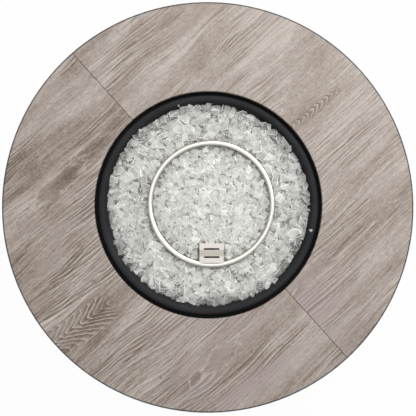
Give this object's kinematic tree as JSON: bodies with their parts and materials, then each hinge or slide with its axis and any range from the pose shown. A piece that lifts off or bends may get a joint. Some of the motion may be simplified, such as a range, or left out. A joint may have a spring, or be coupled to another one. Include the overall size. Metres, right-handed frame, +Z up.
{
  "type": "gas fire pit table",
  "caption": "Round gas fire pit table: wood-look top round a black fire bowl with a ring burner in clear fire glass, on a drum base with a bottle door and controls.",
  "frame": {"origin": "on the floor, under the centre of the round tabletop", "axes": "+Z up, -Y towards the side with the control knob, +X to the right when facing the controls"},
  "size_m": [0.9139, 0.914, 0.625],
  "materials": {
    "weathered_oak": "grey weathered-oak wood-look surface, matt",
    "frame_steel": "dark grey powder coat",
    "bowl_black": "matt black high-heat paint",
    "base_black": "fine-textured black powder coat",
    "burner_steel": "satin stainless steel",
    "zinc": "zinc-plated steel",
    "brass": "plain machined brass",
    "fire_glass": "clear crushed fire glass",
    "ceramic": "plain white ceramic",
    "black_plastic": "fine-textured black plastic",
    "red_plastic": "red moulded plastic",
    "foot_plastic": "black rubber"
  },
  "bodies": {
    "table": {"tabletop_frame": "frame_steel", "edge_band": "frame_steel", "panel_rear": "weathered_oak", "panel_front": "weathered_oak", "top_rib_right": "frame_steel", "top_rib_rear": "frame_steel", "top_rib_left": "frame_steel", "top_rib_front": "frame_steel", "top_screws": "zinc", "fire_bowl": "bowl_black", "heat_shield": "zinc", "shield_standoffs": "zinc", "burner_ring": "burner_steel", "burner_bolts": "zinc", "air_mixer": "brass", "gas_jet": "brass", "gas_tube": "brass", "tube_nuts": "brass", "pilot_cover": "burner_steel", "cover_screws": "zinc", "igniter_bracket": "burner_steel", "electrode_insulator": "ceramic", "electrode_rod": "burner_steel", "thermocouple": "brass", "fire_glass_inner": "fire_glass", "fire_glass_outer": "fire_glass", "top_ring": "base_black", "post_rear_right": "base_black", "post_rear_left": "base_black", "post_front_left": "base_black", "post_front_right": "base_black", "base_pan": "base_black", "foot_rear_right": "foot_plastic", "foot_rear_left": "foot_plastic", "foot_front_left": "foot_plastic", "foot_front_right": "foot_plastic", "foot_nuts": "zinc", "right_panel": "base_black", "left_panel": "base_black", "front_panel": "base_black", "drum_screws": "zinc", "hinge_frame_leaves": "frame_steel", "hinge_pins": "zinc", "catch_bracket": "zinc", "catch_magnet": "black_plastic", "control_bezel": "frame_steel", "bezel_screws": "zinc", "valve_body": "brass", "valve_screws": "zinc", "igniter_housing": "black_plastic", "igniter_nut": "zinc", "bottle_ring": "base_black"},
    "door": {"door": "base_black", "hinge_door_leaves": "frame_steel", "door_pull": "zinc"},
    "push_collar": {"valve_collar": "zinc"},
    "knob": {"valve_stem": "zinc", "control_knob": "black_plastic"},
    "igniter_button": {"igniter_button": "red_plastic"},
    "bottle_bolt": {"bottle_bolt": "zinc"}
  },
  "joints": [
    {"name": "door_swing", "type": "hinge", "parent": "table", "child": "door", "pos_m": [0.2093, 0.2093, 0.3], "axis": [0, 0, -1], "range_deg": [0, 115]},
    {"name": "knob_push", "type": "slide", "parent": "table", "child": "push_collar", "axis": [0, 1, 0], "range_m": [0, 0.004], "stiffness_N_per_m": 2000},
    {"name": "knob_turn", "type": "hinge", "parent": "push_collar", "child": "knob", "pos_m": [0.04933, -0.3, 0.425], "axis": [0, -1, 0], "range_deg": [0, 180]},
    {"name": "igniter_press", "type": "slide", "parent": "table", "child": "igniter_button", "axis": [0, 1, 0], "range_m": [0, 0.004], "stiffness_N_per_m": 1500},
    {"name": "bottle_travel", "type": "slide", "parent": "table", "child": "bottle_bolt", "axis": [0, -1, 0], "range_m": [0, 0.015]}
  ]
}
